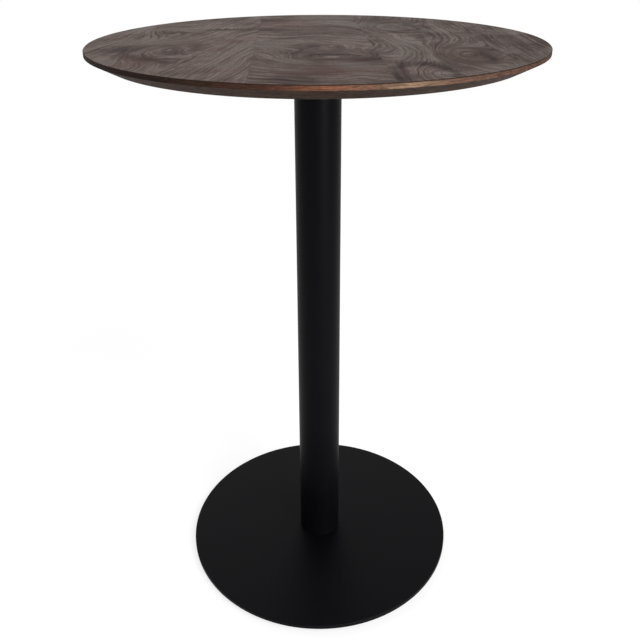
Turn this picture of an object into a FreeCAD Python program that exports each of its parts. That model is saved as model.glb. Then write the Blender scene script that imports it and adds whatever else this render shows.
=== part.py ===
import FreeCAD, Part
import math
import os
import re

import Sketcher

# Bar table: a round top of edge-glued staves, a steel column and a round base plate on four
# levelling feet. +Z is up, +Y runs along the staves, and the origin is on the floor under the
# middle of the column. Lengths are millimetres and angles are degrees.

SIZES = {
    # the whole table
    "table_height": 1110,
    "overrun": 5,
    # top: the round panel and its rim
    "top_diameter": 800,
    "top_thickness": 26,
    "band_height": 8,
    "bevel_run": 34,
    "top_arris": 0.8,
    # fixing of the top: wood screws with wide flat heads on a square pattern
    "screw_edge": 35,
    "screw_diameter": 6,
    "screw_length": 23,
    "screw_head_diameter": 18,
    "screw_head_height": 2.5,
    "screw_key": 4,
    "screw_key_depth": 1.8,
    "thread_play": 0.05,
    # head plate, welded on the column
    "head_side": 320,
    "head_thickness": 5,
    "head_corner": 25,
    "screw_clearance": 0.5,
    "slot_travel": 6,
    "head_weld_leg": 5,
    # column
    "column_diameter": 87,
    "column_wall": 2,
    # foot disc, welded in the lower end of the column
    "disc_thickness": 12,
    "disc_clearance": 0.1,
    "foot_weld_leg": 4,
    # base plate
    "base_diameter": 570,
    "base_thickness": 8,
    "base_top_edge": 1.2,
    # screw from under the base plate into the foot disc
    "base_screw_diameter": 12,
    "base_screw_length": 20,
    "base_screw_head_diameter": 26,
    "base_screw_head_height": 4,
    "base_screw_key": 8,
    "base_screw_key_depth": 3,
    "base_hole_clearance": 0.5,
    # levelling feet
    "foot_circle": 480,
    "stud_diameter": 8,
    "stud_length": 6,
    "stud_end_play": 0.5,
    "hexagon_width": 13,
    "hexagon_height": 3.9,
    "hexagon_chamfer": 0.8,
    "pad_diameter": 25,
    "pad_height": 6,
    "pad_play": 0.1,
    "neck_diameter": 6.4,
    "button_diameter": 8.4,
    "button_height": 1.8,
    "lip_height": 1.6,
}

# Heights above the floor and other sizes that follow from the ones above
DERIVED = {
    "top_radius": "(top_diameter / 2)",
    "top_under": "(table_height - top_thickness)",
    "head_under": "(top_under - head_thickness)",
    "screw_head_under": "(head_under - screw_head_height)",
    "screw_reach": "(head_side / 2 - screw_edge)",
    "slot_width": "(screw_diameter + 2 * screw_clearance)",
    "hexagon_face": "(pad_height + pad_play)",
    "base_under": "(hexagon_face + hexagon_height)",
    "base_face": "(base_under + base_thickness)",
    "column_radius": "(column_diameter / 2)",
    "column_bore_radius": "(column_radius - column_wall)",
    "column_length": "(head_under - base_face)",
    "disc_face": "(base_face + disc_thickness)",
    "base_shank_radius": "(base_screw_diameter / 2)",
    "base_head_under": "(base_under - base_screw_head_height)",
    "foot_reach": "(foot_circle / 2)",
    "stud_radius": "(stud_diameter / 2)",
    "foot_bore_radius": "(stud_radius + thread_play)",
    "lip_under": "(pad_height - lip_height)",
    "button_face": "(lip_under - pad_play)",
    "button_under": "(button_face - button_height)",
    "socket_floor": "(button_under - pad_play)",
}

# Where the glue lines between the staves lie, as shares of the top's radius
GLUE_LINE_SHARES = (-0.79, -0.271, 0.225, 0.72)
FULL_TURN = 360
FEET = 4
FIRST_FOOT_TURN = 45
TOLERANCE = 0.001
TOP_SCREWS = 4
FIRST_SCREW = ("screw_reach", "screw_reach")

document = FreeCAD.newDocument("bar_table")
sheet = document.addObject("Spreadsheet::Sheet", "sizes")
for row, (alias, value) in enumerate(SIZES.items(), 1):
    sheet.set(f"A{row}", alias)
    sheet.set(f"B{row}", str(value))
    sheet.setAlias(f"B{row}", alias)
document.recompute()


def formula(text):
    """Spells a formula out in the sheet's own names."""
    text = str(text)
    while re.search(r"\b(%s)\b" % "|".join(DERIVED), text):
        text = re.sub(r"[a-z]\w*", lambda word: DERIVED.get(word[0], word[0]), text)
    return re.sub(r"[a-z]\w*", lambda word: "sizes." * (word[0] in SIZES) + word[0], text)


def size(text):
    """The value that a formula has now."""
    return float(sheet.evalExpression(formula(text)))


def bind(thing, **formulas):
    """Binds properties to formulas, so that they follow the sheet."""
    for name, text in formulas.items():
        thing.setExpression(name, formula(text))


def move_to(thing, across, along, up=0):
    """Binds a thing's place to three formulas."""
    for axis, text in zip("xyz", (across, along, up)):
        thing.setExpression(f"Placement.Base.{axis}", formula(text))


def new_body(name):
    """A sub-part made of features, named as its file will be."""
    body = document.addObject("PartDesign::Body", name)
    body.Label = name
    return body


def new_sketch(body, plane, name, height=None):
    """A sketch on one of the body's own origin planes, raised to a height if there is one."""
    sketch = body.newObject("Sketcher::SketchObject", name)
    role = plane + "_Plane"
    sketch.AttachmentSupport = [(next(f for f in body.Origin.OriginFeatures if f.Role == role), "")]
    sketch.MapMode = "FlatFace"
    if height is not None:
        sketch.setExpression("AttachmentOffset.Base.z", formula(height))
    return sketch


def fix(sketch, kind, *target):
    """Adds a dimension whose value is the formula given last."""
    *geometry, text = target
    index = sketch.addConstraint(Sketcher.Constraint(kind, *geometry, size(text)))
    sketch.setExpression(f"Constraints[{index}]", formula(text))


def place_point(sketch, element, point, across, up):
    """Fixes one point of a sketch element by its two distances from the origin."""
    fix(sketch, "DistanceX", -1, 1, element, point, across)
    fix(sketch, "DistanceY", -1, 1, element, point, up)


def circle(sketch, radius, across=0, up=0):
    """A circle with its centre at the given place."""
    centre = FreeCAD.Vector(size(across), size(up), 0)
    element = sketch.addGeometry(Part.Circle(centre, FreeCAD.Vector(0, 0, 1), size(radius)), False)
    fix(sketch, "Radius", element, radius)
    place_point(sketch, element, 3, across, up)


def arc_between(centre, radius, start, end):
    """The shorter arc round a centre, and whether it runs from start to end or back."""
    first = math.atan2(start.y - centre.y, start.x - centre.x)
    last = math.atan2(end.y - centre.y, end.x - centre.x)
    forward = (last - first) % (2 * math.pi) < math.pi
    if not forward:
        first, last = last, first
    whole = Part.Circle(centre, FreeCAD.Vector(0, 0, 1), radius)
    return Part.ArcOfCircle(whole, first, last), forward


def outline(sketch, corners):
    """A closed outline through corners, each (across, up) or (across, up, radius of its rounding)."""
    count = len(corners)
    places = [FreeCAD.Vector(size(corner[0]), size(corner[1]), 0) for corner in corners]
    arrive, leave, arcs = list(places), list(places), {}
    for i, corner in enumerate(corners):
        if len(corner) == 3:
            back = (places[i - 1] - places[i]).normalize()
            ahead = (places[(i + 1) % count] - places[i]).normalize()
            half = back.getAngle(ahead) / 2
            radius = size(corner[2])
            arrive[i] = places[i] + back * (radius / math.tan(half))
            leave[i] = places[i] + ahead * (radius / math.tan(half))
            centre = places[i] + (back + ahead).normalize() * (radius / math.sin(half))
            arcs[i] = arc_between(centre, radius, arrive[i], leave[i])
    lines = [
        sketch.addGeometry(Part.LineSegment(leave[i], arrive[(i + 1) % count]), False)
        for i in range(count)
    ]
    for i, corner in enumerate(corners):
        before, after = lines[i - 1], lines[i]
        if i not in arcs:
            sketch.addConstraint(Sketcher.Constraint("Coincident", before, 2, after, 1))
            place_point(sketch, after, 1, corner[0], corner[1])
            continue
        curve, forward = arcs[i]
        arc = sketch.addGeometry(curve, False)
        tip = sketch.addGeometry(Part.Point(places[i]), True)
        place_point(sketch, tip, 1, corner[0], corner[1])
        first, last = (1, 2) if forward else (2, 1)
        sketch.addConstraint(
            [
                Sketcher.Constraint("PointOnObject", tip, 1, before),
                Sketcher.Constraint("PointOnObject", tip, 1, after),
                Sketcher.Constraint("Tangent", before, 2, arc, first),
                Sketcher.Constraint("Tangent", arc, last, after, 1),
            ]
        )
        fix(sketch, "Radius", arc, corner[2])


def slot(sketch, across, up, travel, width):
    """A slot along the sketch's first axis, with round ends."""
    x, y, reach, radius = size(across), size(up), size(travel) / 2, size(width) / 2
    arcs = []
    for sign, shift, first in (("-", -reach, math.pi / 2), ("+", reach, -math.pi / 2)):
        whole = Part.Circle(FreeCAD.Vector(x + shift, y, 0), FreeCAD.Vector(0, 0, 1), radius)
        arc = sketch.addGeometry(Part.ArcOfCircle(whole, first, first + math.pi), False)
        place_point(sketch, arc, 3, f"{across} {sign} {travel} / 2", up)
        fix(sketch, "Radius", arc, f"{width} / 2")
        arcs.append(arc)
    left, right = arcs
    low = FreeCAD.Vector(x - reach, y - radius, 0), FreeCAD.Vector(x + reach, y - radius, 0)
    high = FreeCAD.Vector(x + reach, y + radius, 0), FreeCAD.Vector(x - reach, y + radius, 0)
    lower = sketch.addGeometry(Part.LineSegment(*low), False)
    upper = sketch.addGeometry(Part.LineSegment(*high), False)
    joins = ((left, 2, lower, 1), (lower, 2, right, 1), (right, 2, upper, 1), (upper, 2, left, 1))
    for join in joins:
        sketch.addConstraint(Sketcher.Constraint("Tangent", *join))


def hexagon(sketch, width, across=0, up=0):
    """A hexagon with the given width across its flats."""
    corners = []
    for i in range(6):
        turn = 30 + 60 * i
        spoke = f"({width}) / sqrt(3)"
        corners.append((f"{across} + {spoke} * cos({turn})", f"{up} + {spoke} * sin({turn})"))
    outline(sketch, corners)


def profile_at(body, name, corners, place):
    """A sketch of (radius, height) corners on an upright plane through a place of the body."""
    across, along = place
    profile = new_sketch(body, "XZ", name + "_profile", f"-({along})")
    profile.setExpression("AttachmentOffset.Base.x", formula(across))
    outline(profile, corners)
    return profile


def revolve(body, name, corners, place=(0, 0)):
    """Turns an outline of (radius, height) corners round the upright line through a place."""
    profile = profile_at(body, name, corners, place)
    turned = body.newObject("PartDesign::Revolution", name)
    turned.Profile = profile
    turned.ReferenceAxis = (profile, ["V_Axis"])
    turned.Angle = FULL_TURN
    return turned


def pad(body, name, profile, length):
    """Raises a sketch by a length."""
    raised = body.newObject("PartDesign::Pad", name)
    raised.Profile = profile
    bind(raised, Length=length)
    return raised


def pocket_up(body, name, profile, depth):
    """Cuts a sketch upwards by a depth, and makes sure that it cuts."""
    document.recompute()
    before = body.Shape.Volume
    cut = body.newObject("PartDesign::Pocket", name)
    cut.Profile = profile
    cut.Reversed = True
    bind(cut, Length=depth)
    document.recompute()
    if body.Shape.Volume >= before:
        raise ValueError(f"{name} in {body.Label} cuts nothing")
    return cut


def edges_where(feature, test):
    """The names of a feature's edges whose middle point passes a test."""
    document.recompute()
    names = []
    for number, edge in enumerate(feature.Shape.Edges, 1):
        middle = edge.valueAt((edge.FirstParameter + edge.LastParameter) / 2)
        if test(middle):
            names.append(f"Edge{number}")
    return names


def dress(body, kind, name, feature, test, **formulas):
    """A fillet or chamfer on the edges of a feature that pass a test."""
    dressing = body.newObject("PartDesign::" + kind, name)
    dressing.Base = (feature, edges_where(feature, test))
    bind(dressing, **formulas)
    return dressing


def ring_pattern(body, name, originals, occurrences):
    """Repeats features evenly round the body's Z axis."""
    pattern = body.newObject("PartDesign::PolarPattern", name)
    pattern.Originals = originals
    pattern.Axis = (next(f for f in body.Origin.OriginFeatures if f.Role == "Z_Axis"), [""])
    pattern.Angle = FULL_TURN
    pattern.Occurrences = occurrences
    body.Tip = pattern
    return pattern


sub_parts = []


def keep(thing):
    """Marks an object as a sub-part that gets a file of its own."""
    sub_parts.append(thing)
    return thing


def make_panel():
    """The glued-up panel, turned to its round rim and drilled for the screws."""
    body = new_body("panel")
    rim = [
        (0, "top_under"),
        ("top_radius - bevel_run", "top_under"),
        ("top_radius", "table_height - band_height"),
        ("top_radius", "table_height - top_arris"),
        ("top_radius - top_arris", "table_height"),
        (0, "table_height"),
    ]
    revolve(body, "round_top", rim)
    hole = new_sketch(body, "XY", "screw_place", "top_under")
    circle(hole, "screw_diameter / 2 + thread_play", *FIRST_SCREW)
    drilled = pocket_up(body, "screw_hole", hole, "screw_length - head_thickness")
    ring_pattern(body, "screw_holes", [drilled], TOP_SCREWS)
    return body


def make_staves(panel):
    """The staves: the panel taken apart again along its glue lines."""
    lines = [-1, *GLUE_LINE_SHARES, 1]
    for number, (left, right) in enumerate(zip(lines, lines[1:]), 1):
        blank = document.addObject("Part::Box", f"stave_blank_{number}")
        width = f"(({right}) - ({left})) * top_radius"
        bind(blank, Length=width, Width="top_diameter", Height="top_thickness")
        move_to(blank, f"({left}) * top_radius", "-top_radius", "top_under")
        stave = document.addObject("Part::MultiCommon", f"top_board_{number}")
        stave.Label = f"top_board_{number}"
        stave.Shapes = [panel, blank]
        keep(stave)


def make_head_screws():
    """Wood screws, from below through the plate's slots into the staves."""
    body = keep(new_body("head_screws"))
    shank = "screw_diameter / 2"
    tip = "head_under + screw_length"
    screw = [
        (0, "screw_head_under"),
        ("screw_head_diameter / 2", "screw_head_under"),
        ("screw_head_diameter / 2", "head_under"),
        (shank, "head_under"),
        (shank, tip),
        (0, tip),
    ]
    turned = revolve(body, "screw", screw, FIRST_SCREW)
    key = new_sketch(body, "XY", "key_outline", "screw_head_under")
    hexagon(key, "screw_key", *FIRST_SCREW)
    socket = pocket_up(body, "key_socket", key, "screw_key_depth")
    ring_pattern(body, "screw_pattern", [turned, socket], TOP_SCREWS)


def make_head_plate():
    """Square plate with a slot across the grain for each screw."""
    body = keep(new_body("head_plate"))
    square = new_sketch(body, "XY", "plate_outline", "head_under")
    half = "head_side / 2"
    signs = (("-", "-"), ("", "-"), ("", ""), ("-", ""))
    outline(square, [(f"{x}{half}", f"{y}{half}", "head_corner") for x, y in signs])
    pad(body, "plate", square, "head_thickness")
    openings = new_sketch(body, "XY", "screw_openings", "head_under")
    for x, y in signs:
        slot(openings, f"{x}screw_reach", f"{y}screw_reach", "slot_travel", "slot_width")
    pocket_up(body, "screw_cuts", openings, "head_thickness + overrun")


def make_column():
    """The round tube from the base plate to the head plate."""
    body = keep(new_body("column_tube"))
    ring = new_sketch(body, "XY", "tube_section", "base_face")
    circle(ring, "column_radius")
    circle(ring, "column_bore_radius")
    pad(body, "tube", ring, "column_length")


def make_foot_disc():
    """The disc in the tube's lower end, tapped for the base screw."""
    body = keep(new_body("foot_disc"))
    disc = new_sketch(body, "XY", "disc_outline", "base_face")
    circle(disc, "column_bore_radius - disc_clearance")
    circle(disc, "base_shank_radius + thread_play")
    pad(body, "disc", disc, "disc_thickness")


def make_welds():
    """The beads of the column: outside against the head plate, inside on the foot disc."""
    body = keep(new_body("column_welds"))
    head_bead = [
        ("column_radius", "head_under"),
        ("column_radius", "head_under - head_weld_leg"),
        ("column_radius + head_weld_leg", "head_under"),
    ]
    revolve(body, "head_bead", head_bead)
    foot_bead = [
        ("column_bore_radius", "disc_face"),
        ("column_bore_radius", "disc_face + foot_weld_leg"),
        ("column_bore_radius - foot_weld_leg", "disc_face"),
    ]
    revolve(body, "foot_bead", foot_bead)


def foot_place(number=0):
    """Where one levelling foot stands."""
    turn = FIRST_FOOT_TURN + FULL_TURN * number / FEET
    return (f"foot_reach * cos({turn})", f"foot_reach * sin({turn})")


def make_base_plate():
    """The round plate, with its screw hole and the blind tapped holes for the feet."""
    body = keep(new_body("base_plate"))
    edge = [
        (0, "base_under"),
        ("base_diameter / 2", "base_under"),
        ("base_diameter / 2", "base_face - base_top_edge"),
        ("base_diameter / 2 - base_top_edge", "base_face"),
        (0, "base_face"),
    ]
    revolve(body, "round_plate", edge)
    blind = new_sketch(body, "XY", "foot_hole_place", "base_under")
    circle(blind, "foot_bore_radius", *foot_place())
    foot_hole = pocket_up(body, "foot_hole", blind, "stud_length + stud_end_play")
    ring_pattern(body, "foot_holes", [foot_hole], FEET)
    hole = new_sketch(body, "XY", "screw_hole_place", "base_under")
    circle(hole, "base_shank_radius + base_hole_clearance")
    pocket_up(body, "screw_hole", hole, "base_thickness + overrun")


def make_base_screw():
    """The screw that clamps the base plate to the foot disc, with a wide flat head."""
    body = keep(new_body("base_screw"))
    tip = "base_under + base_screw_length"
    screw = [
        (0, "base_head_under"),
        ("base_screw_head_diameter / 2", "base_head_under"),
        ("base_screw_head_diameter / 2", "base_under"),
        ("base_shank_radius", "base_under"),
        ("base_shank_radius", tip),
        (0, tip),
    ]
    revolve(body, "screw", screw)
    key = new_sketch(body, "XY", "key_outline", "base_head_under")
    hexagon(key, "base_screw_key")
    pocket_up(body, "key_socket", key, "base_screw_key_depth")


def make_foot(number):
    """One levelling foot: a pad with an undercut socket, and the stud whose button snaps into it."""
    pad_body = keep(new_body(f"foot_pad_{number + 1}"))
    shell = [
        (0, 0),
        ("pad_diameter / 2", 0),
        ("pad_diameter / 2", "pad_height"),
        ("neck_diameter / 2 + thread_play", "pad_height"),
        ("neck_diameter / 2 + thread_play", "lip_under"),
        ("button_diameter / 2 + thread_play", "lip_under"),
        ("button_diameter / 2 + thread_play", "socket_floor"),
        (0, "socket_floor"),
    ]
    revolve(pad_body, "pad", shell)
    move_to(pad_body, *foot_place(number))

    stud_body = keep(new_body(f"foot_stud_{number + 1}"))
    tip = "base_under + stud_length"
    turned = [
        (0, "button_under"),
        ("button_diameter / 2", "button_under"),
        ("button_diameter / 2", "button_face"),
        ("neck_diameter / 2", "button_face"),
        ("neck_diameter / 2", "hexagon_face"),
        ("stud_radius", "hexagon_face"),
        ("stud_radius", tip),
        (0, tip),
    ]
    revolve(stud_body, "stud", turned)
    flats = new_sketch(stud_body, "XY", "hexagon_outline", "hexagon_face")
    hexagon(flats, "hexagon_width")
    nut = pad(stud_body, "hexagon", flats, "hexagon_height")
    level = size("hexagon_face")
    between = size("(stud_radius + hexagon_width / 2) / 2")

    def on_rim(middle):
        return abs(middle.z - level) < TOLERANCE and math.hypot(middle.x, middle.y) > between

    dress(stud_body, "Chamfer", "hexagon_edge", nut, on_rim, Size="hexagon_chamfer")
    move_to(stud_body, *foot_place(number))


def check_document():
    """Stops if an object failed or a sub-part has no sound solid."""
    for thing in document.Objects:
        if "Invalid" in thing.State or "Error" in thing.State:
            raise ValueError(f"{thing.Label} failed: {thing.State}")
    for part in sub_parts:
        if part.Shape.isNull() or not part.Shape.isValid() or not part.Shape.Solids:
            raise ValueError(f"{part.Label} has no valid solid")


make_staves(make_panel())
make_head_screws()
make_head_plate()
make_column()
make_foot_disc()
make_welds()
make_base_plate()
make_base_screw()
for foot in range(FEET):
    make_foot(foot)
document.recompute()
check_document()

os.makedirs("parts", exist_ok=True)
for part in sub_parts:
    part.Shape.exportStep(f"parts/{part.Label}.step")
    box = part.Shape.BoundBox
    print(
        f"{part.Label}: {len(part.Shape.Solids)} solids, {part.Shape.Volume:.1f} mm3,"
        f" z {box.ZMin:.2f} to {box.ZMax:.2f}"
    )
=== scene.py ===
import math

import bpy
from mathutils import Matrix, Vector


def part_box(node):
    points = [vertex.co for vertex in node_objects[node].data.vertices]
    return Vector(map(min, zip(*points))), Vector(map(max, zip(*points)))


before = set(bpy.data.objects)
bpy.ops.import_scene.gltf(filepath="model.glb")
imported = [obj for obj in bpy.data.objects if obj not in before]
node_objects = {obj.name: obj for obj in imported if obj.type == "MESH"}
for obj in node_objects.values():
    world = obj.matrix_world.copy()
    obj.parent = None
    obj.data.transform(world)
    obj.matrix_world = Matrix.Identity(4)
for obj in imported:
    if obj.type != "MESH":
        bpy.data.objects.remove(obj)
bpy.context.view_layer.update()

# The view. The photograph was taken from the front and a little above the top, with the camera
# tipped down. Place, lens and tilt were fitted to the outlines of top, column and base plate. The
# staves run a little off the camera's direction, so the camera is turned, not the table.
CAMERA_DISTANCE = 1.3746
CAMERA_HEIGHT = 1.3024
CAMERA_PITCH = math.radians(22.721)
CAMERA_ROLL = math.radians(-0.19)
CAMERA_TURN = math.radians(0.126)
STAVE_TURN = math.radians(2.25)
SENSOR_WIDTH = 36.0
FRAME_PIXELS = 640
FOCAL_PIXELS = 758.8
AXIS_ABOVE_MIDDLE_PIXELS = 80

camera_data = bpy.data.cameras.new("camera")
camera_data.sensor_width = SENSOR_WIDTH
camera_data.lens = FOCAL_PIXELS * SENSOR_WIDTH / FRAME_PIXELS
camera_data.shift_y = -AXIS_ABOVE_MIDDLE_PIXELS / FRAME_PIXELS
camera = bpy.data.objects.new("camera", camera_data)
camera.location = (
    -CAMERA_DISTANCE * math.sin(STAVE_TURN),
    -CAMERA_DISTANCE * math.cos(STAVE_TURN),
    CAMERA_HEIGHT,
)
aim = Matrix.Rotation(-STAVE_TURN - CAMERA_TURN, 3, "Z")
aim = aim @ Matrix.Rotation(math.pi / 2 - CAMERA_PITCH, 3, "X")
aim = aim @ Matrix.Rotation(CAMERA_ROLL, 3, "Z")
camera.rotation_euler = aim.to_euler()
bpy.context.scene.collection.objects.link(camera)
bpy.context.scene.camera = camera
bpy.context.scene.view_settings.view_transform = "Standard"

# The studio: a white floor that runs into a white surround. A large soft lamp stands at the front
# right, a low one below it lights the upright band of the rim, and a weak one fills in from the
# back left.
FLOOR_RADIUS = 16.0
FLOOR_CORNERS = 96
FLOOR_FADE_START = 1.6
FLOOR_FADE_END = 3.2
# The floor throws light as its first colour does. Seen directly, it has the second colour and a
# glow, which together show white and leave the object's shadow in it.
FLOOR_COLOUR = "#E6E6E6"
FLOOR_SEEN_COLOUR = "#9C9C9C"
FLOOR_GLOW = 0.74
GLOW_COLOUR = "#FFFFFF"
NO_PAINT = "#000000"
SURROUND_LIGHT = 0.45
# Each lamp: its heading, counted from the front towards the right, and its height, both in
# degrees, its strength, and how wide it looks, in degrees
LAMPS = (
    ("key_lamp", 40, 38, 1.7, 35),
    ("strip_lamp", 30, 5, 2.3, 20),
    ("back_lamp", 205, 50, 0.5, 60),
)


def linear(hex_colour):
    """An sRGB hex colour as linear red, green, blue and alpha, by the sRGB standard's curve."""
    shares = [int(hex_colour[i:i + 2], 16) / 255 for i in (1, 3, 5)]
    return [s / 12.92 if s <= 0.04045 else ((s + 0.055) / 1.055) ** 2.4 for s in shares] + [1.0]


def add(tree, kind, inputs=None, **settings):
    """Adds a shader node. An input is a value or the output that it is linked to."""
    node = tree.nodes.new("ShaderNode" + kind)
    for name, value in settings.items():
        setattr(node, name, value)
    for name, value in (inputs or {}).items():
        if isinstance(value, bpy.types.NodeSocket):
            tree.links.new(value, node.inputs[name])
        else:
            node.inputs[name].default_value = value
    return node


def new_material(name):
    """A material, with its node tree, its shader, and the place of a point in metres."""
    material = bpy.data.materials.new(name)
    material.use_nodes = True
    tree = material.node_tree
    place = add(tree, "TexCoord").outputs["Object"]
    return material, tree, tree.nodes["Principled BSDF"], place


def seen_directly(tree):
    """1 on rays from the camera, off gloss or through glass, and 0 on rays that carry light."""
    path = add(tree, "LightPath")
    total = path.outputs["Is Camera Ray"]
    for name in ("Is Glossy Ray", "Is Transmission Ray"):
        total = add(tree, "Math", {0: total, 1: path.outputs[name]}, operation="MAXIMUM").outputs[0]
    return total


floor_edge = []
for corner in range(FLOOR_CORNERS):
    turn = math.tau * corner / FLOOR_CORNERS
    floor_edge.append((FLOOR_RADIUS * math.cos(turn), FLOOR_RADIUS * math.sin(turn), 0))
floor_mesh = bpy.data.meshes.new("floor")
floor_mesh.from_pydata(floor_edge, [], [range(FLOOR_CORNERS)])
floor = bpy.data.objects.new("floor", floor_mesh)
bpy.context.scene.collection.objects.link(floor)

# Painted studio floor: matt white, which takes the object's shadow and fades to plain white
studio_paint, tree, surface, place = new_material("studio_floor_paint")
away = add(tree, "VectorMath", {0: place}, operation="LENGTH").outputs["Value"]
fade = add(
    tree,
    "MapRange",
    {"Value": away, "From Min": FLOOR_FADE_START, "From Max": FLOOR_FADE_END},
    interpolation_type="SMOOTHSTEP",
).outputs[0]
seen = seen_directly(tree)
glow = add(tree, "MapRange", {"Value": fade, "To Min": FLOOR_GLOW, "To Max": 1.0}).outputs[0]
glow = add(tree, "Math", {0: glow, 1: seen}, operation="MULTIPLY").outputs[0]
near = add(
    tree, "Mix", {0: seen, 6: linear(FLOOR_COLOUR), 7: linear(FLOOR_SEEN_COLOUR)}, data_type="RGBA"
).outputs[2]
seen_far = add(tree, "Math", {0: fade, 1: seen}, operation="MULTIPLY").outputs[0]
paint = add(tree, "Mix", {0: seen_far, 6: near, 7: linear(NO_PAINT)}, data_type="RGBA").outputs[2]
tree.links.new(paint, surface.inputs["Base Color"])
tree.links.new(glow, surface.inputs["Emission Strength"])
surface.inputs["Emission Color"].default_value = linear(GLOW_COLOUR)
surface.inputs["Roughness"].default_value = 1.0
surface.inputs["Specular IOR Level"].default_value = 0.0
floor_mesh.materials.append(studio_paint)

world = bpy.data.worlds.new("surround")
bpy.context.scene.world = world
world.use_nodes = True
tree = world.node_tree
level = add(
    tree, "MapRange", {"Value": seen_directly(tree), "To Min": SURROUND_LIGHT, "To Max": 1.0}
).outputs[0]
tree.links.new(level, tree.nodes["Background"].inputs["Strength"])
tree.nodes["Background"].inputs["Color"].default_value = linear(GLOW_COLOUR)

for lamp_name, heading, elevation, strength, softness in LAMPS:
    heading = math.radians(heading)
    elevation = math.radians(elevation)
    lamp_data = bpy.data.lights.new(lamp_name, "SUN")
    lamp_data.energy = strength
    lamp_data.angle = math.radians(softness)
    lamp = bpy.data.objects.new(lamp_name, lamp_data)
    towards = Vector(
        (
            math.cos(elevation) * math.sin(heading),
            -math.cos(elevation) * math.cos(heading),
            math.sin(elevation),
        )
    )
    lamp.rotation_euler = towards.to_track_quat("Z", "Y").to_euler()
    bpy.context.scene.collection.objects.link(lamp)

# The top: five staves of figured hardwood, edge glued, planed flat, stained dark and lacquered
# matt. The rim was turned after gluing, with an upright band and a long bevel under it. Screws
# hold it from below.
BOARDS = 5
TOP_RADIUS = (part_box("top_board_5")[1][0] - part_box("top_board_1")[0][0]) / 2
TOP_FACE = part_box("top_board_3")[1][2]
TOP_ARRIS = 0.0008
# The glue lines, as shares of the radius. A line is 0.1 mm wide and is drawn wider, to show.
GLUE_LINE_SHARES = (-0.79, -0.271, 0.225, 0.72)
GLUE_LINE_REACH = 0.0008
GLUE_LINE_DARKNESS = 0.35
# Staves are counted from the left, from 0, and told apart half way between two whole numbers
HALF_STEP = 0.5
# The middle stave was cut across a crotch, so its rings run from side to side
CROTCH_STAVE = 2
CROTCH_ACROSS = 0.10
CROTCH_ALONG = 0.50
# The two staves on the left have their fibres a little slanted
SLANTED_STAVES = 2
SLANT = 0.32
# How much faster the rings go by down through a stave than across it
RINGS_PER_DEPTH = 2.2
# A noise texture's value swings round this one
NOISE_MIDDLE = 0.5
# Slow bends of the rings, and the ragged outline of the knots
WARP_WIDTH = 0.12
WARP_LENGTH = 0.30
WARP_REACH = 0.06
RAGGED_SIZE = 0.05
RAGGED_REACH = 0.022
# Tone bands and growth rings, at their real spacing
BAND_SPACING = 0.026
RING_SPACING = 0.0052
RING_LENGTH = 0.25
# Fibres and pores are under 0.4 mm wide in the real wood and are drawn wider, to show
FIBRE_WIDTH = 0.0019
FIBRE_LENGTH = 0.028
PORE_WIDTH = 0.0007
PORE_LENGTH = 0.009
# Patches where the stain took more or less, and the tool marks round the rim
TONE_PATCH = 0.09
STREAK_LENGTH = 0.012
STREAK_HEIGHT = 0.0011
# How far the patterns are shifted from one stave to the next, so that none runs on over a joint
WARP_STEP = 7.3
RING_STEP = 0.371
GRAIN_STEP = 5.0
PATCH_STEP = 3.1
# Each knot: its place across and along, its reach across and along and how far it pushes the
# rings aside, in metres, and how much darker it is in the middle and in a line round it
KNOTS = (
    (-0.272, -0.115, 0.050, 0.085, 0.095, 0.00, 0.05),
    (-0.240, -0.060, 0.030, 0.040, 0.030, 0.00, 0.00),
    (-0.322, -0.090, 0.020, 0.050, 0.000, 0.10, 0.00),
    (-0.300, -0.165, 0.022, 0.022, 0.000, 0.05, 0.00),
    (-0.270, -0.190, 0.013, 0.022, 0.020, 0.13, 0.00),
    (-0.205, -0.075, 0.010, 0.050, 0.000, 0.06, 0.00),
    (-0.345, 0.020, 0.030, 0.100, 0.000, 0.04, 0.00),
    (-0.234, -0.160, 0.030, 0.012, 0.000, -0.10, 0.00),
    (-0.295, 0.160, 0.045, 0.090, 0.080, 0.00, 0.00),
    (-0.172, 0.152, 0.045, 0.016, -0.012, 0.15, 0.00),
    (-0.175, 0.185, 0.035, 0.012, 0.000, -0.06, 0.00),
    (-0.120, 0.010, 0.060, 0.090, 0.020, 0.00, 0.00),
    (0.014, -0.187, 0.082, 0.085, 0.110, 0.00, 0.04),
    (0.016, -0.183, 0.015, 0.012, 0.012, -0.10, 0.00),
    (0.016, -0.183, 0.050, 0.034, 0.000, 0.03, 0.09),
    (0.072, -0.219, 0.030, 0.020, 0.000, 0.20, 0.00),
    (0.023, -0.300, 0.050, 0.022, -0.010, 0.07, 0.00),
    (0.144, 0.176, 0.046, 0.085, 0.120, 0.04, 0.04),
    (0.191, 0.205, 0.010, 0.030, 0.000, 0.14, 0.00),
    (0.155, 0.010, 0.034, 0.080, 0.050, -0.06, 0.00),
    (0.137, -0.345, 0.050, 0.115, 0.060, -0.06, 0.13),
    (0.112, -0.300, 0.006, 0.050, 0.000, 0.10, 0.00),
    (0.224, -0.175, 0.044, 0.090, 0.110, 0.02, 0.04),
    (0.254, -0.185, 0.008, 0.060, 0.000, 0.12, 0.00),
    (0.298, 0.060, 0.012, 0.110, 0.000, 0.09, 0.00),
)
# The line round a knot is its bell's lift times its fall, which 4 brings to 1 at half height, and
# a power makes thin
OUTLINE_HEIGHT = 4.0
OUTLINE_THINNESS = 9.0
# What each pattern adds to the tone of the face, where a tone of 0 is dark and 1 is light
BASE_TONE = 0.061
BAND_SHARE = 0.17
SLANTED_BAND_SHARE = 0.09
RING_SHARE = 0.15
LATE_WOOD_SHARE = -0.08
FIBRE_SHARE = 0.46
PATCH_SHARE = 0.42
# Painted sheen: each stave towards the right is a little darker
SHEEN_FALLOFF_PER_STAVE = -0.016
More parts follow.
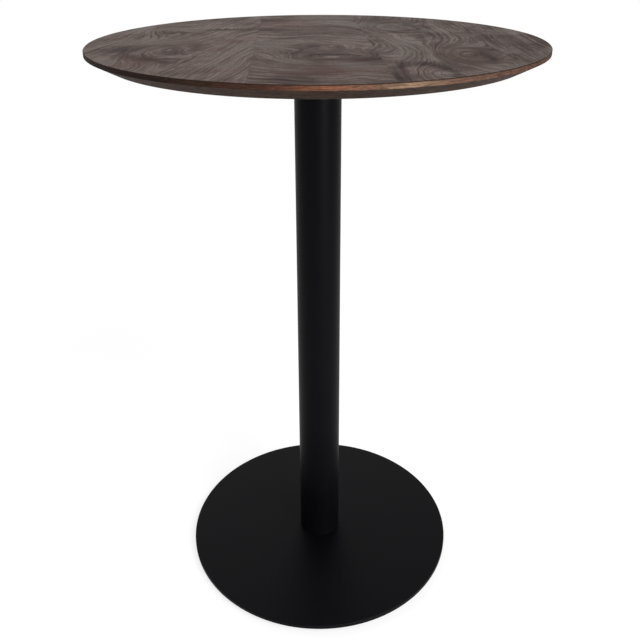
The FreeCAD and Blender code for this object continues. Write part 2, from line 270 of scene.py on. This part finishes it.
# Late wood begins and is full at these values of the ring noise
LATE_WOOD_START = 0.50
LATE_WOOD_FULL = 0.38
# Stain on the face: tone and colour
FACE_TONES = (
    (0.34, "#201614"),
    (0.49, "#4B3E39"),
    (0.64, "#786C67"),
)
# Redder heartwood: place across and along, reach across and along, and strength
RED_PATCHES = (
    (0.020, -0.300, 0.080, 0.050, 0.60),
    (-0.125, -0.250, 0.035, 0.110, 0.45),
    (0.225, -0.160, 0.045, 0.080, 0.28),
    (0.060, -0.225, 0.040, 0.030, 0.35),
    (-0.160, -0.060, 0.060, 0.120, 0.20),
    (-0.060, 0.230, 0.060, 0.060, 0.30),
    (-0.285, -0.200, 0.040, 0.050, 0.45),
)
STAIN_RED = "#553631"
# The red follows the rings: least at the first value of the ring noise, full at the second
RED_LEAST = 0.60
RED_FULL = 0.42
RED_LEAST_SHARE = 0.2
# Greyer stain in the lightest patches
STAIN_GREY = "#53504D"
GREY_START = 0.52
GREY_FULL = 0.68
GREY_SHARE = 0.5
# How far up bevel, band and arris look, from -1 to 1, and the play round that
BEVEL_FACING = (-0.70, 0.25)
BAND_FACING = (0.0, 0.3)
ARRIS_FACING = (0.60, 0.29)
# The bevel faces down and has its own darker colours: painted shade, streaked by the tool marks
SHADED_BEVEL_DARK = "#1A110E"
SHADED_BEVEL_LIGHT = "#4A382F"
# Colours of the band from left to right, as share of the radius and colour, which the tool marks
# make darker and lighter. The near black on the left is painted shade and the tan right of the
# middle is a painted highlight; the rest is where the band took much stain and where little.
BAND_STAIN_SHADE_AND_HIGHLIGHT = (
    (-0.56, "#271D19"),
    (-0.20, "#402A21"),
    (0.00, "#724B39"),
    (0.16, "#684E40"),
    (0.27, "#846D58"),
    (0.42, "#5E473C"),
    (1.00, "#3E2C23"),
)
STREAK_DARK = 0.30
STREAK_LIGHT = 0.70
BAND_DARKEST = 0.45
BAND_LIGHTEST = 1.45
# The arris is dark, and the dark runs a little way down the band
ARRIS_COLOUR = "#2A1C16"
EDGE_DARK_DEPTH = 0.0020
EDGE_DARK_SHARE = 0.8
PORE_COLOUR = "#1A1413"
PORE_START = 0.40
PORE_FULL = 0.33
PORE_SHARE = 0.7
# Matt lacquer over open grain
FIBRE_LOW = 0.3
FIBRE_HIGH = 0.7
LACQUER_SMOOTHEST = 0.60
LACQUER_ROUGHEST = 0.76
LACQUER_SPECULAR = 0.045
GRAIN_STRENGTH = 0.5
GRAIN_DEPTH = 0.00012


def bell(tree, across, along, middle_across, middle_along, reach_across, reach_along):
    """A smooth hill, 1 high in its middle and 1/e high at its reach."""
    x = add(tree, "Math", {0: across, 1: middle_across}, operation="SUBTRACT").outputs[0]
    x = add(tree, "Math", {0: x, 1: reach_across}, operation="DIVIDE").outputs[0]
    y = add(tree, "Math", {0: along, 1: middle_along}, operation="SUBTRACT").outputs[0]
    y = add(tree, "Math", {0: y, 1: reach_along}, operation="DIVIDE").outputs[0]
    y = add(tree, "Math", {0: y, 1: y}, operation="MULTIPLY").outputs[0]
    spread = add(tree, "Math", {0: x, 1: x, 2: y}, operation="MULTIPLY_ADD").outputs[0]
    return add(tree, "Math", {0: math.exp(-1), 1: spread}, operation="POWER").outputs[0]


# Stained hardwood: the stain sinks deepest into the soft early wood and the pores, so rings,
# knots and fibres show dark on brown grey, and the matt lacquer gives only a dull sheen
stained_hardwood, tree, surface, place = new_material("stained_figured_hardwood")
across, along, up = add(tree, "SeparateXYZ", {0: place}).outputs
depth = add(tree, "Math", {0: up, 1: TOP_FACE}, operation="SUBTRACT").outputs[0]

# Which stave a point lies on, counted from the left, and how near it is to a glue line
board = 0.0
glue = TOP_RADIUS
for share in GLUE_LINE_SHARES:
    joint = share * TOP_RADIUS
    step = add(tree, "Math", {0: across, 1: joint}, operation="GREATER_THAN").outputs[0]
    board = add(tree, "Math", {0: board, 1: step}, operation="ADD").outputs[0]
    gap = add(tree, "Math", {0: across, 1: joint}, operation="SUBTRACT").outputs[0]
    gap = add(tree, "Math", {0: gap}, operation="ABSOLUTE").outputs[0]
    glue = add(tree, "Math", {0: glue, 1: gap}, operation="MINIMUM").outputs[0]
crotch = add(
    tree, "Math", {0: board, 1: CROTCH_STAVE, 2: HALF_STEP}, operation="COMPARE"
).outputs[0]
slanted = add(
    tree, "Math", {0: board, 1: SLANTED_STAVES - HALF_STEP}, operation="LESS_THAN"
).outputs[0]

# The ring coordinate: across the stave, and down through its thickness, warped a little and
# pushed aside round each knot
turned = add(tree, "Math", {0: along, 1: CROTCH_ALONG}, operation="MULTIPLY").outputs[0]
turned = add(
    tree, "Math", {0: across, 1: CROTCH_ACROSS, 2: turned}, operation="MULTIPLY_ADD"
).outputs[0]
slant = add(tree, "Math", {0: along, 1: -SLANT}, operation="MULTIPLY").outputs[0]
slant = add(tree, "Math", {0: slant, 1: slanted, 2: across}, operation="MULTIPLY_ADD").outputs[0]
ring_place = add(tree, "Mix", {0: crotch, 2: slant, 3: turned}, data_type="FLOAT").outputs[0]
ring_place = add(
    tree, "Math", {0: depth, 1: RINGS_PER_DEPTH, 2: ring_place}, operation="MULTIPLY_ADD"
).outputs[0]
warp_place = add(
    tree,
    "VectorMath",
    {0: place, 1: (1 / WARP_WIDTH, 1 / WARP_LENGTH, 1 / WARP_WIDTH)},
    operation="MULTIPLY",
).outputs[0]
warp_seed = add(tree, "Math", {0: board, 1: WARP_STEP}, operation="MULTIPLY").outputs[0]
warp = add(
    tree,
    "TexNoise",
    {"Vector": warp_place, "W": warp_seed, "Scale": 1.0, "Detail": 2.0},
    noise_dimensions="4D",
).outputs[0]
ring_place = add(
    tree, "Math", {0: warp, 1: WARP_REACH, 2: ring_place}, operation="MULTIPLY_ADD"
).outputs[0]
ragged_place = add(
    tree, "VectorMath", {0: place, "Scale": 1 / RAGGED_SIZE}, operation="SCALE"
).outputs[0]
ragged = add(
    tree, "TexNoise", {"Vector": ragged_place, "Scale": 1.0, "Detail": 2.0}
).outputs["Color"]
ragged = add(
    tree, "VectorMath", {0: ragged, 1: (NOISE_MIDDLE,) * 3}, operation="SUBTRACT"
).outputs[0]
ragged = add(tree, "VectorMath", {0: ragged, "Scale": RAGGED_REACH}, operation="SCALE").outputs[0]
ragged = add(tree, "VectorMath", {0: place, 1: ragged}, operation="ADD").outputs[0]
ragged_across, ragged_along, _ = add(tree, "SeparateXYZ", {0: ragged}).outputs
knot_shade = 0.0
for knot_x, knot_y, reach_x, reach_y, push, dark, outline in KNOTS:
    lift = bell(tree, ragged_across, ragged_along, knot_x, knot_y, reach_x, reach_y)
    shades = []
    if push:
        ring_place = add(
            tree, "Math", {0: lift, 1: push, 2: ring_place}, operation="MULTIPLY_ADD"
        ).outputs[0]
    if dark:
        shades.append((lift, dark))
    if outline:
        fall = add(tree, "Math", {0: 1.0, 1: lift}, operation="SUBTRACT").outputs[0]
        line = add(tree, "Math", {0: lift, 1: fall}, operation="MULTIPLY").outputs[0]
        line = add(tree, "Math", {0: line, 1: OUTLINE_HEIGHT}, operation="MULTIPLY").outputs[0]
        line = add(tree, "Math", {0: line, 1: OUTLINE_THINNESS}, operation="POWER").outputs[0]
        shades.append((line, outline))
    for share, strength in shades:
        knot_shade = add(
            tree, "Math", {0: share, 1: strength, 2: knot_shade}, operation="MULTIPLY_ADD"
        ).outputs[0]
ring_place = add(
    tree, "Math", {0: board, 1: RING_STEP, 2: ring_place}, operation="MULTIPLY_ADD"
).outputs[0]
fibre_run = add(tree, "Mix", {0: crotch, 2: along, 3: across}, data_type="FLOAT").outputs[0]

# Wide tone bands, growth rings, long fibres and short open pores
band_place = add(tree, "Math", {0: ring_place, 1: BAND_SPACING}, operation="DIVIDE").outputs[0]
bands = add(
    tree, "TexNoise", {"W": band_place, "Scale": 1.0, "Detail": 2.0}, noise_dimensions="1D"
).outputs[0]
bands = add(tree, "Math", {0: bands, 1: NOISE_MIDDLE}, operation="SUBTRACT").outputs[0]
grain_seed = add(tree, "Math", {0: board, 1: GRAIN_STEP}, operation="MULTIPLY").outputs[0]
grain = {}
for name, width, length, detail in (
    ("ring", RING_SPACING, RING_LENGTH, 4.0),
    ("fibre", FIBRE_WIDTH, FIBRE_LENGTH, 4.0),
    ("pore", PORE_WIDTH, PORE_LENGTH, 1.0),
):
    stretched = add(
        tree,
        "CombineXYZ",
        {
            0: add(tree, "Math", {0: ring_place, 1: width}, operation="DIVIDE").outputs[0],
            1: add(tree, "Math", {0: fibre_run, 1: length}, operation="DIVIDE").outputs[0],
            2: grain_seed,
        },
    ).outputs[0]
    grain[name] = add(
        tree, "TexNoise", {"Vector": stretched, "Scale": 1.0, "Detail": detail}
    ).outputs[0]
late_wood = add(
    tree,
    "MapRange",
    {"Value": grain["ring"], "From Min": LATE_WOOD_START, "From Max": LATE_WOOD_FULL},
).outputs[0]
patch_place = add(
    tree, "VectorMath", {0: place, "Scale": 1 / TONE_PATCH}, operation="SCALE"
).outputs[0]
patch_seed = add(tree, "Math", {0: board, 1: PATCH_STEP}, operation="MULTIPLY").outputs[0]
patches = add(
    tree,
    "TexNoise",
    {"Vector": patch_place, "W": patch_seed, "Scale": 1.0, "Detail": 3.0},
    noise_dimensions="4D",
).outputs[0]

# The tone of the face. The slanted staves have the quieter bands, the face is painted a little
# darker from each stave to the next towards the right, for a painted sheen that fades from left to
# right, and the knots are darker still.
band_share = add(
    tree, "MapRange", {"Value": slanted, "To Min": BAND_SHARE, "To Max": SLANTED_BAND_SHARE}
).outputs[0]
tone = add(
    tree, "Math", {0: bands, 1: band_share, 2: BASE_TONE}, operation="MULTIPLY_ADD"
).outputs[0]
for part, share in (
    (grain["ring"], RING_SHARE),
    (late_wood, LATE_WOOD_SHARE),
    (grain["fibre"], FIBRE_SHARE),
    (patches, PATCH_SHARE),
    (board, SHEEN_FALLOFF_PER_STAVE),
):
    tone = add(tree, "Math", {0: part, 1: share, 2: tone}, operation="MULTIPLY_ADD").outputs[0]
tone = add(tree, "Math", {0: tone, 1: knot_shade}, operation="SUBTRACT").outputs[0]
face_colours = add(tree, "ValToRGB", {0: tone})

# Redder heartwood in some places and greyer stain in others
red = 0.0
for patch_x, patch_y, reach_x, reach_y, strength in RED_PATCHES:
    lift = bell(tree, across, along, patch_x, patch_y, reach_x, reach_y)
    lift = add(tree, "Math", {0: lift, 1: strength}, operation="MULTIPLY").outputs[0]
    red = add(tree, "Math", {0: red, 1: lift}, operation="MAXIMUM").outputs[0]
red_rings = add(
    tree,
    "MapRange",
    {
        "Value": grain["ring"],
        "From Min": RED_LEAST,
        "From Max": RED_FULL,
        "To Min": RED_LEAST_SHARE,
    },
).outputs[0]
red = add(tree, "Math", {0: red, 1: red_rings}, operation="MULTIPLY").outputs[0]
grey = add(
    tree,
    "MapRange",
    {"Value": patches, "From Min": GREY_START, "From Max": GREY_FULL, "To Max": GREY_SHARE},
).outputs[0]
wood = add(
    tree, "Mix", {0: red, 6: face_colours.outputs[0], 7: linear(STAIN_RED)}, data_type="RGBA"
).outputs[2]
wood = add(tree, "Mix", {0: grey, 6: wood, 7: linear(STAIN_GREY)}, data_type="RGBA").outputs[2]

# The turned rim: the bevel, which faces down, is painted darker than the face as shade, the band
# goes from painted shade, nearly black, on the left to a painted highlight in tan right of the
# middle, and the sharp edge between band and face is dark
_, _, facing = add(
    tree, "SeparateXYZ", {0: add(tree, "NewGeometry").outputs["True Normal"]}
).outputs
on_bevel, on_band, on_arris = (
    add(tree, "Math", {0: facing, 1: upward, 2: play}, operation="COMPARE").outputs[0]
    for upward, play in (BEVEL_FACING, BAND_FACING, ARRIS_FACING)
)
# Dark on the arris and down the top 2 mm of the band
edge_run = add(
    tree,
    "MapRange",
    {
        "Value": depth,
        "From Min": -EDGE_DARK_DEPTH,
        "From Max": -TOP_ARRIS,
        "To Max": EDGE_DARK_SHARE,
    },
).outputs[0]
edge_run = add(tree, "Math", {0: edge_run, 1: on_band}, operation="MULTIPLY").outputs[0]
on_edge = add(tree, "Math", {0: on_arris, 1: edge_run}, operation="MAXIMUM").outputs[0]
streak_place = add(
    tree,
    "VectorMath",
    {0: place, 1: (1 / STREAK_LENGTH, 1 / STREAK_LENGTH, 1 / STREAK_HEIGHT)},
    operation="MULTIPLY",
).outputs[0]
streaks = add(
    tree, "TexNoise", {"Vector": streak_place, "Scale": 1.0, "Detail": 3.0}
).outputs[0]
rim_tone = add(
    tree, "MapRange", {"Value": streaks, "From Min": STREAK_DARK, "From Max": STREAK_LIGHT}
).outputs[0]
# Painted shade: the bevel gets darker colours than the band, streaked by the tool marks
bevel = add(
    tree, "Mix", {0: rim_tone, 6: linear(SHADED_BEVEL_DARK), 7: linear(SHADED_BEVEL_LIGHT)}, data_type="RGBA"
).outputs[2]
round_rim = add(
    tree, "MapRange", {"Value": across, "From Min": -TOP_RADIUS, "From Max": TOP_RADIUS}
).outputs[0]
# The band's colours round the rim, with painted shade on the left and a painted highlight right of
# the middle
band_colours = add(tree, "ValToRGB", {0: round_rim})
band_stops = [((1 + share) / 2, colour) for share, colour in BAND_STAIN_SHADE_AND_HIGHLIGHT]
for node, stops in ((face_colours, FACE_TONES), (band_colours, band_stops)):
    ends = node.color_ramp.elements
    ends[0].position, ends[1].position = stops[0][0], stops[-1][0]
    ends[0].color, ends[1].color = linear(stops[0][1]), linear(stops[-1][1])
    for position, colour in stops[1:-1]:
        node.color_ramp.elements.new(position).color = linear(colour)
band_light = add(
    tree, "MapRange", {"Value": rim_tone, "To Min": BAND_DARKEST, "To Max": BAND_LIGHTEST}
).outputs[0]
band = add(
    tree, "VectorMath", {0: band_colours.outputs[0], "Scale": band_light}, operation="SCALE"
).outputs[0]
for mask, colour in ((on_bevel, bevel), (on_band, band), (on_edge, linear(ARRIS_COLOUR))):
    wood = add(tree, "Mix", {0: mask, 6: wood, 7: colour}, data_type="RGBA").outputs[2]

# Open pores and glue lines, which the stain fills, and the lacquer over them
pores = add(
    tree,
    "MapRange",
    {
        "Value": grain["pore"],
        "From Min": PORE_START,
        "From Max": PORE_FULL,
        "To Max": PORE_SHARE,
    },
).outputs[0]
on_glue = add(
    tree,
    "MapRange",
    {"Value": glue, "From Min": GLUE_LINE_REACH, "From Max": 0.0, "To Max": GLUE_LINE_DARKNESS},
).outputs[0]
for mask in (pores, on_glue):
    wood = add(tree, "Mix", {0: mask, 6: wood, 7: linear(PORE_COLOUR)}, data_type="RGBA").outputs[2]
tree.links.new(wood, surface.inputs["Base Color"])
sheen = add(
    tree,
    "MapRange",
    {
        "Value": grain["fibre"],
        "From Min": FIBRE_LOW,
        "From Max": FIBRE_HIGH,
        "To Min": LACQUER_SMOOTHEST,
        "To Max": LACQUER_ROUGHEST,
    },
).outputs[0]
tree.links.new(sheen, surface.inputs["Roughness"])
surface.inputs["Specular IOR Level"].default_value = LACQUER_SPECULAR
height = add(
    tree, "Math", {0: pores, 1: -1.0, 2: grain["fibre"]}, operation="MULTIPLY_ADD"
).outputs[0]
bump = add(
    tree, "Bump", {"Height": height, "Strength": GRAIN_STRENGTH, "Distance": GRAIN_DEPTH}
).outputs[0]
tree.links.new(bump, surface.inputs["Normal"])
for number in range(1, BOARDS + 1):
    node_objects[f"top_board_{number}"].material_slots[0].material = stained_hardwood

# Column, head plate and base plate: mild steel, shot blasted and powder coated in one colour. The
# tube is rolled and welded to the head plate, and both plates are cut from sheet. Screws hold the
# head plate to the top and the base plate to the column.
POWDER_BLACK = "#030305"
POWDER_GREY = "#08080B"
GLOSS_PATCH = 0.09
COAT_SMOOTHEST = 0.38
COAT_ROUGHEST = 0.50
COAT_SPECULAR = 0.05
# The peel of the melted powder is about 1 mm across and is drawn a little coarser, to show
PEEL_SIZE = 0.0016
PEEL_STRENGTH = 0.35
PEEL_DEPTH = 0.0001

# Matt black powder coat: powder that was melted to a thick skin, so the steel looks nearly black,
# with a fine peel and slow changes of gloss
powder_coat, tree, surface, place = new_material("matt_black_powder_coat")
gloss = add(
    tree, "TexNoise", {"Vector": place, "Scale": 1 / GLOSS_PATCH, "Detail": 4.0}
).outputs[0]
tint = add(
    tree, "Mix", {0: gloss, 6: linear(POWDER_BLACK), 7: linear(POWDER_GREY)}, data_type="RGBA"
).outputs[2]
tree.links.new(tint, surface.inputs["Base Color"])
rough = add(
    tree, "MapRange", {"Value": gloss, "To Min": COAT_SMOOTHEST, "To Max": COAT_ROUGHEST}
).outputs[0]
tree.links.new(rough, surface.inputs["Roughness"])
surface.inputs["Specular IOR Level"].default_value = COAT_SPECULAR
peel = add(tree, "TexNoise", {"Vector": place, "Scale": 1 / PEEL_SIZE, "Detail": 2.0}).outputs[0]
bump = add(
    tree, "Bump", {"Height": peel, "Strength": PEEL_STRENGTH, "Distance": PEEL_DEPTH}
).outputs[0]
tree.links.new(bump, surface.inputs["Normal"])
for name in ("column_tube", "head_plate", "base_plate"):
    node_objects[name].material_slots[0].material = powder_coat

# Weld beads of the column: steel, laid in one run round the tube at the head plate and one at the
# foot disc, then brushed and coated with the rest.
RIPPLES_ROUND = 150
RIPPLE_STRENGTH = 0.8
RIPPLE_DEPTH = 0.0004
WOBBLE_SIZE = 0.004
WOBBLE_REACH = 4.0
BEAD_ROUGHNESS = 0.55

# Powder coat over a weld: the ripples of the bead, 1.8 mm apart, show as soft scales
weld_bead, tree, surface, place = new_material("coated_weld_bead")
right, back, _ = add(tree, "SeparateXYZ", {0: place}).outputs
turn = add(tree, "Math", {0: back, 1: right}, operation="ARCTAN2").outputs[0]
phase = add(tree, "Math", {0: turn, 1: RIPPLES_ROUND}, operation="MULTIPLY").outputs[0]
wobble = add(
    tree, "TexNoise", {"Vector": place, "Scale": 1 / WOBBLE_SIZE, "Detail": 2.0}
).outputs[0]
phase = add(
    tree, "Math", {0: wobble, 1: WOBBLE_REACH, 2: phase}, operation="MULTIPLY_ADD"
).outputs[0]
ripple = add(tree, "Math", {0: phase}, operation="SINE").outputs[0]
ripple = add(tree, "MapRange", {"Value": ripple, "From Min": -1.0}).outputs[0]
tint = add(
    tree, "Mix", {0: ripple, 6: linear(POWDER_BLACK), 7: linear(POWDER_GREY)}, data_type="RGBA"
).outputs[2]
tree.links.new(tint, surface.inputs["Base Color"])
surface.inputs["Roughness"].default_value = BEAD_ROUGHNESS
surface.inputs["Specular IOR Level"].default_value = COAT_SPECULAR
bump = add(
    tree, "Bump", {"Height": ripple, "Strength": RIPPLE_STRENGTH, "Distance": RIPPLE_DEPTH}
).outputs[0]
tree.links.new(bump, surface.inputs["Normal"])
node_objects["column_welds"].material_slots[0].material = weld_bead

# Foot disc: a thick round blank cut from hot rolled steel plate, with one threaded hole. It is
# welded into the tube's lower end and left uncoated.
SCALE_GREY = "#7C7A77"
SCALE_BROWN = "#5A4B40"
SCALE_PATCH = 0.02
SCALE_SMOOTHEST = 0.4
SCALE_ROUGHEST = 0.7
SCALE_METALLIC = 0.9
SCALE_STRENGTH = 0.3
SCALE_DEPTH = 0.0002

# Hot rolled steel: mill scale lies on it in grey and brown patches, duller where it is thick
mill_steel, tree, surface, place = new_material("hot_rolled_steel")
scale = add(
    tree, "TexNoise", {"Vector": place, "Scale": 1 / SCALE_PATCH, "Detail": 6.0}
).outputs[0]
tint = add(
    tree, "Mix", {0: scale, 6: linear(SCALE_GREY), 7: linear(SCALE_BROWN)}, data_type="RGBA"
).outputs[2]
tree.links.new(tint, surface.inputs["Base Color"])
rough = add(
    tree, "MapRange", {"Value": scale, "To Min": SCALE_SMOOTHEST, "To Max": SCALE_ROUGHEST}
).outputs[0]
tree.links.new(rough, surface.inputs["Roughness"])
surface.inputs["Metallic"].default_value = SCALE_METALLIC
bump = add(
    tree, "Bump", {"Height": scale, "Strength": SCALE_STRENGTH, "Distance": SCALE_DEPTH}
).outputs[0]
tree.links.new(bump, surface.inputs["Normal"])
node_objects["foot_disc"].material_slots[0].material = mill_steel

# Screws: cold headed steel with a black oxide finish and a film of oil. Four wood screws go
# through the head plate into the staves, and one machine screw clamps the base plate to the foot
# disc.
OXIDE_BLACK = "#1B1B1D"
OXIDE_WORN = "#3A3632"
# The grain of the oxide is too fine to see and is drawn coarser, to show
OXIDE_GRAIN = 0.0012
WEAR_START = 0.5
WEAR_FULL = 0.75
OXIDE_SMOOTHEST = 0.32
OXIDE_ROUGHEST = 0.5
OXIDE_METALLIC = 0.85
OXIDE_STRENGTH = 0.2
OXIDE_DEPTH = 0.00005

# Black oxide: a thin brown black skin with a low oily gloss, worn to the steel in specks
black_oxide, tree, surface, place = new_material("black_oxide_steel")
oxide = add(
    tree, "TexNoise", {"Vector": place, "Scale": 1 / OXIDE_GRAIN, "Detail": 4.0}
).outputs[0]
worn = add(
    tree, "MapRange", {"Value": oxide, "From Min": WEAR_START, "From Max": WEAR_FULL}
).outputs[0]
tint = add(
    tree, "Mix", {0: worn, 6: linear(OXIDE_BLACK), 7: linear(OXIDE_WORN)}, data_type="RGBA"
).outputs[2]
tree.links.new(tint, surface.inputs["Base Color"])
rough = add(
    tree, "MapRange", {"Value": oxide, "To Min": OXIDE_SMOOTHEST, "To Max": OXIDE_ROUGHEST}
).outputs[0]
tree.links.new(rough, surface.inputs["Roughness"])
surface.inputs["Metallic"].default_value = OXIDE_METALLIC
bump = add(
    tree, "Bump", {"Height": oxide, "Strength": OXIDE_STRENGTH, "Distance": OXIDE_DEPTH}
).outputs[0]
tree.links.new(bump, surface.inputs["Normal"])
for name in ("head_screws", "base_screw"):
    node_objects[name].material_slots[0].material = black_oxide

# Levelling studs: turned steel with a hexagon and a rolled thread, screwed into the base plate.
# The thread is relief in the material, one turn of the groove for each pitch.
FEET = 4
FOOT_PLACE = (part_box("foot_stud_1")[0][0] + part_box("foot_stud_1")[1][0]) / 2
HEXAGON_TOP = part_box("base_plate")[0][2]
THREAD_PITCH = 0.00125
# How much the thread stands out against the mottle of the plating
THREAD_SHARE = 4.0
THREAD_STRENGTH = 0.6
THREAD_DEPTH = 0.0001
ZINC_BRIGHT = "#B4B6B8"
ZINC_DULL = "#8E9194"
ZINC_MOTTLE = 0.004
ZINC_SMOOTHEST = 0.22
ZINC_ROUGHEST = 0.42

# Bright zinc plating: a cool silver with a faint mottle, fairly glossy
zinc_plate, tree, surface, place = new_material("bright_zinc_plated_steel")
mottle = add(
    tree, "TexNoise", {"Vector": place, "Scale": 1 / ZINC_MOTTLE, "Detail": 4.0}
).outputs[0]
tint = add(
    tree, "Mix", {0: mottle, 6: linear(ZINC_BRIGHT), 7: linear(ZINC_DULL)}, data_type="RGBA"
).outputs[2]
tree.links.new(tint, surface.inputs["Base Color"])
rough = add(
    tree, "MapRange", {"Value": mottle, "To Min": ZINC_SMOOTHEST, "To Max": ZINC_ROUGHEST}
).outputs[0]
tree.links.new(rough, surface.inputs["Roughness"])
surface.inputs["Metallic"].default_value = 1.0
# The feet stand in the four quarters, so each offset is taken from the nearest foot's axis, and
# the product of the signs keeps every thread right handed
right, back, up = add(tree, "SeparateXYZ", {0: place}).outputs
offsets = []
signs = []
for distance in (right, back):
    reach = add(tree, "Math", {0: distance}, operation="ABSOLUTE").outputs[0]
    offsets.append(add(tree, "Math", {0: reach, 1: FOOT_PLACE}, operation="SUBTRACT").outputs[0])
    signs.append(add(tree, "Math", {0: distance}, operation="SIGN").outputs[0])
turn = add(tree, "Math", {0: offsets[1], 1: offsets[0]}, operation="ARCTAN2").outputs[0]
hand = add(tree, "Math", {0: signs[0], 1: signs[1]}, operation="MULTIPLY").outputs[0]
turn = add(tree, "Math", {0: turn, 1: hand}, operation="MULTIPLY").outputs[0]
climb = add(tree, "Math", {0: up, 1: math.tau / THREAD_PITCH}, operation="MULTIPLY").outputs[0]
phase = add(tree, "Math", {0: climb, 1: turn}, operation="SUBTRACT").outputs[0]
groove = add(tree, "Math", {0: phase}, operation="SINE").outputs[0]
threaded = add(tree, "Math", {0: up, 1: HEXAGON_TOP}, operation="GREATER_THAN").outputs[0]
groove = add(tree, "Math", {0: groove, 1: threaded}, operation="MULTIPLY").outputs[0]
relief = add(
    tree, "Math", {0: groove, 1: THREAD_SHARE, 2: mottle}, operation="MULTIPLY_ADD"
).outputs[0]
bump = add(
    tree, "Bump", {"Height": relief, "Strength": THREAD_STRENGTH, "Distance": THREAD_DEPTH}
).outputs[0]
tree.links.new(bump, surface.inputs["Normal"])
for number in range(1, FEET + 1):
    node_objects[f"foot_stud_{number}"].material_slots[0].material = zinc_plate

# Levelling pads: nylon, injection moulded in one piece. Each is snapped onto the button of its
# stud and stands on the floor.
NYLON_BLACK = "#1A1A1C"
NYLON_GREY = "#2A2A2C"
# The spark texture of the mould is about 0.1 mm across and is drawn coarser, to show
SPARK_SIZE = 0.0006
SPARK_STRENGTH = 0.4
SPARK_DEPTH = 0.00006
NYLON_SMOOTHEST = 0.45
NYLON_ROUGHEST = 0.65
NYLON_IOR = 1.53

# Moulded nylon: dyed through, dull black, with the mould's fine spark texture
black_nylon, tree, surface, place = new_material("moulded_black_nylon")
spark = add(tree, "TexNoise", {"Vector": place, "Scale": 1 / SPARK_SIZE, "Detail": 2.0}).outputs[0]
tint = add(
    tree, "Mix", {0: spark, 6: linear(NYLON_BLACK), 7: linear(NYLON_GREY)}, data_type="RGBA"
).outputs[2]
tree.links.new(tint, surface.inputs["Base Color"])
rough = add(
    tree, "MapRange", {"Value": spark, "To Min": NYLON_SMOOTHEST, "To Max": NYLON_ROUGHEST}
).outputs[0]
tree.links.new(rough, surface.inputs["Roughness"])
surface.inputs["IOR"].default_value = NYLON_IOR
bump = add(
    tree, "Bump", {"Height": spark, "Strength": SPARK_STRENGTH, "Distance": SPARK_DEPTH}
).outputs[0]
tree.links.new(bump, surface.inputs["Normal"])
for number in range(1, FEET + 1):
    node_objects[f"foot_pad_{number}"].material_slots[0].material = black_nylon
